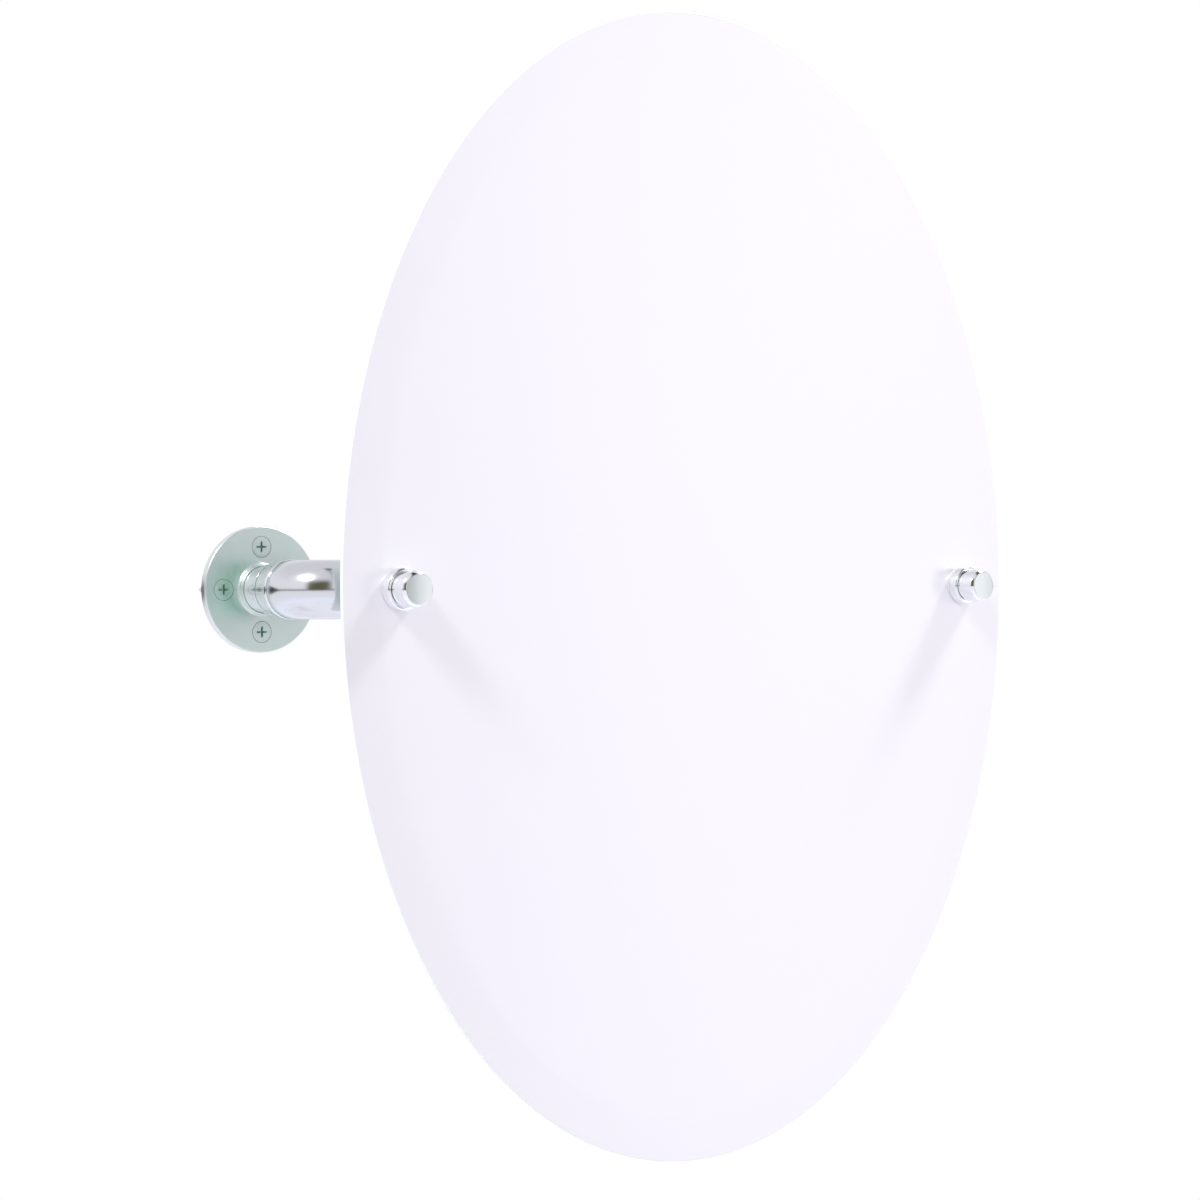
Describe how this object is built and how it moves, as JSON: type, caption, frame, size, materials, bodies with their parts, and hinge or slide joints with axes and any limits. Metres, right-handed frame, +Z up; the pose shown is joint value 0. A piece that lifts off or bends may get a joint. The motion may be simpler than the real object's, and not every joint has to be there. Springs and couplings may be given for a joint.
{
  "type": "pivot wall mirror",
  "caption": "Oval bevelled wall mirror held at mid height by chromed elbow brackets, on which it tilts up and down.",
  "frame": {"origin": "on the wall plane, midway between the two wall flanges, at the height of the pivot axis", "axes": "+X to the viewer's right along the wall and along the pivot axis, +Y into the wall, +Z up; the mirror faces -Y"},
  "size_m": [0.6214, 0.1422, 0.7366],
  "materials": {
    "mirror_face": "silvered glass, polished, ground bevel",
    "backing_paint": "matt grey backing paint over the silver",
    "chromed_metal": "bright chrome plate on turned and cast metal",
    "knob_metal": "satin chrome plate, finely turned face",
    "screw_metal": "chromed steel with a cross recess",
    "bolt_steel": "zinc plated steel",
    "washer_nylon": "translucent nylon"
  },
  "bodies": {
    "wall_mounts": {"left_flange": "chromed_metal", "left_wall_screws": "screw_metal", "left_neck": "chromed_metal", "left_lock_sleeve": "chromed_metal", "left_elbow": "chromed_metal", "left_pivot_plug": "chromed_metal", "left_pivot_bolt": "bolt_steel", "left_friction_washer": "washer_nylon", "left_cone_washer": "bolt_steel", "left_pivot_nut": "bolt_steel", "right_flange": "chromed_metal", "right_wall_screws": "screw_metal", "right_neck": "chromed_metal", "right_lock_sleeve": "chromed_metal", "right_elbow": "chromed_metal", "right_pivot_plug": "chromed_metal", "right_pivot_bolt": "bolt_steel", "right_friction_washer": "washer_nylon", "right_cone_washer": "bolt_steel", "right_pivot_nut": "bolt_steel"},
    "mirror": {"mirror_glass": "mirror_face", "mirror_backing": "backing_paint", "left_swivel_hub": "chromed_metal", "left_back_washer": "washer_nylon", "left_glass_bush": "washer_nylon", "left_knob_stud": "bolt_steel", "left_front_washer": "washer_nylon", "left_knob_collar": "knob_metal", "left_knob_cap": "knob_metal", "right_swivel_hub": "chromed_metal", "right_back_washer": "washer_nylon", "right_glass_bush": "washer_nylon", "right_knob_stud": "bolt_steel", "right_front_washer": "washer_nylon", "right_knob_collar": "knob_metal", "right_knob_cap": "knob_metal"}
  },
  "joints": [
    {"name": "mirror_tilt", "type": "hinge", "parent": "wall_mounts", "child": "mirror", "pos_m": [0, -0.06585, 0], "axis": [1, 0, 0], "range_deg": [-13.5, 13.5]}
  ]
}
